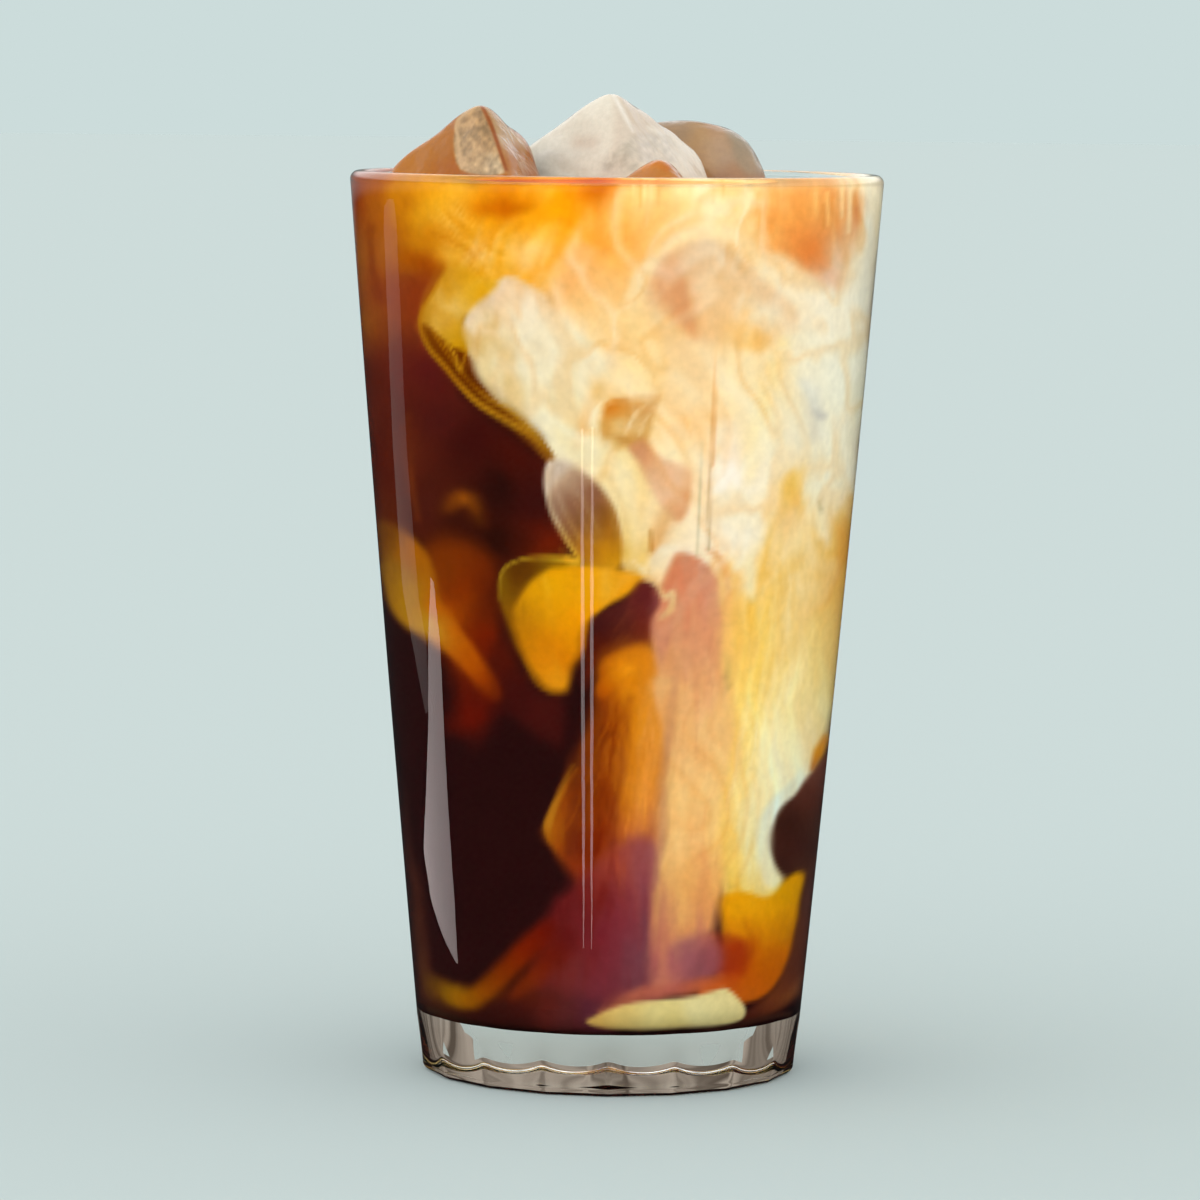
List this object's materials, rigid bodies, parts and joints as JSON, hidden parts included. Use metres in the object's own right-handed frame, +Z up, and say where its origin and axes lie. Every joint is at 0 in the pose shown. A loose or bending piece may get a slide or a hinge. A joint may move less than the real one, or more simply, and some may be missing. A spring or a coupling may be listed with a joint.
{
  "type": "iced latte in a tumbler glass",
  "caption": "Straight-sided conical glass tumbler filled to the rim with iced latte, milk clouding into coffee, with pieces of ice standing out of the top.",
  "frame": {"origin": "centre of the glass's foot, on the table", "axes": "+Z up along the glass's axis, -Y towards the side shown in the picture"},
  "size_m": [0.0886, 0.0886, 0.163],
  "materials": {
    "clear_glass": "clear polished soda-lime glass",
    "latte": "coffee with milk clouding into it",
    "coffee_ice": "clear ice wet with coffee",
    "cloudy_ice": "white cloudy ice",
    "melted_ice": "smooth melting ice"
  },
  "bodies": {
    "root": {"glass": "clear_glass", "latte": "latte", "ice_left": "coffee_ice", "ice_centre": "cloudy_ice", "ice_right": "melted_ice", "ice_front": "coffee_ice"}
  },
  "joints": []
}
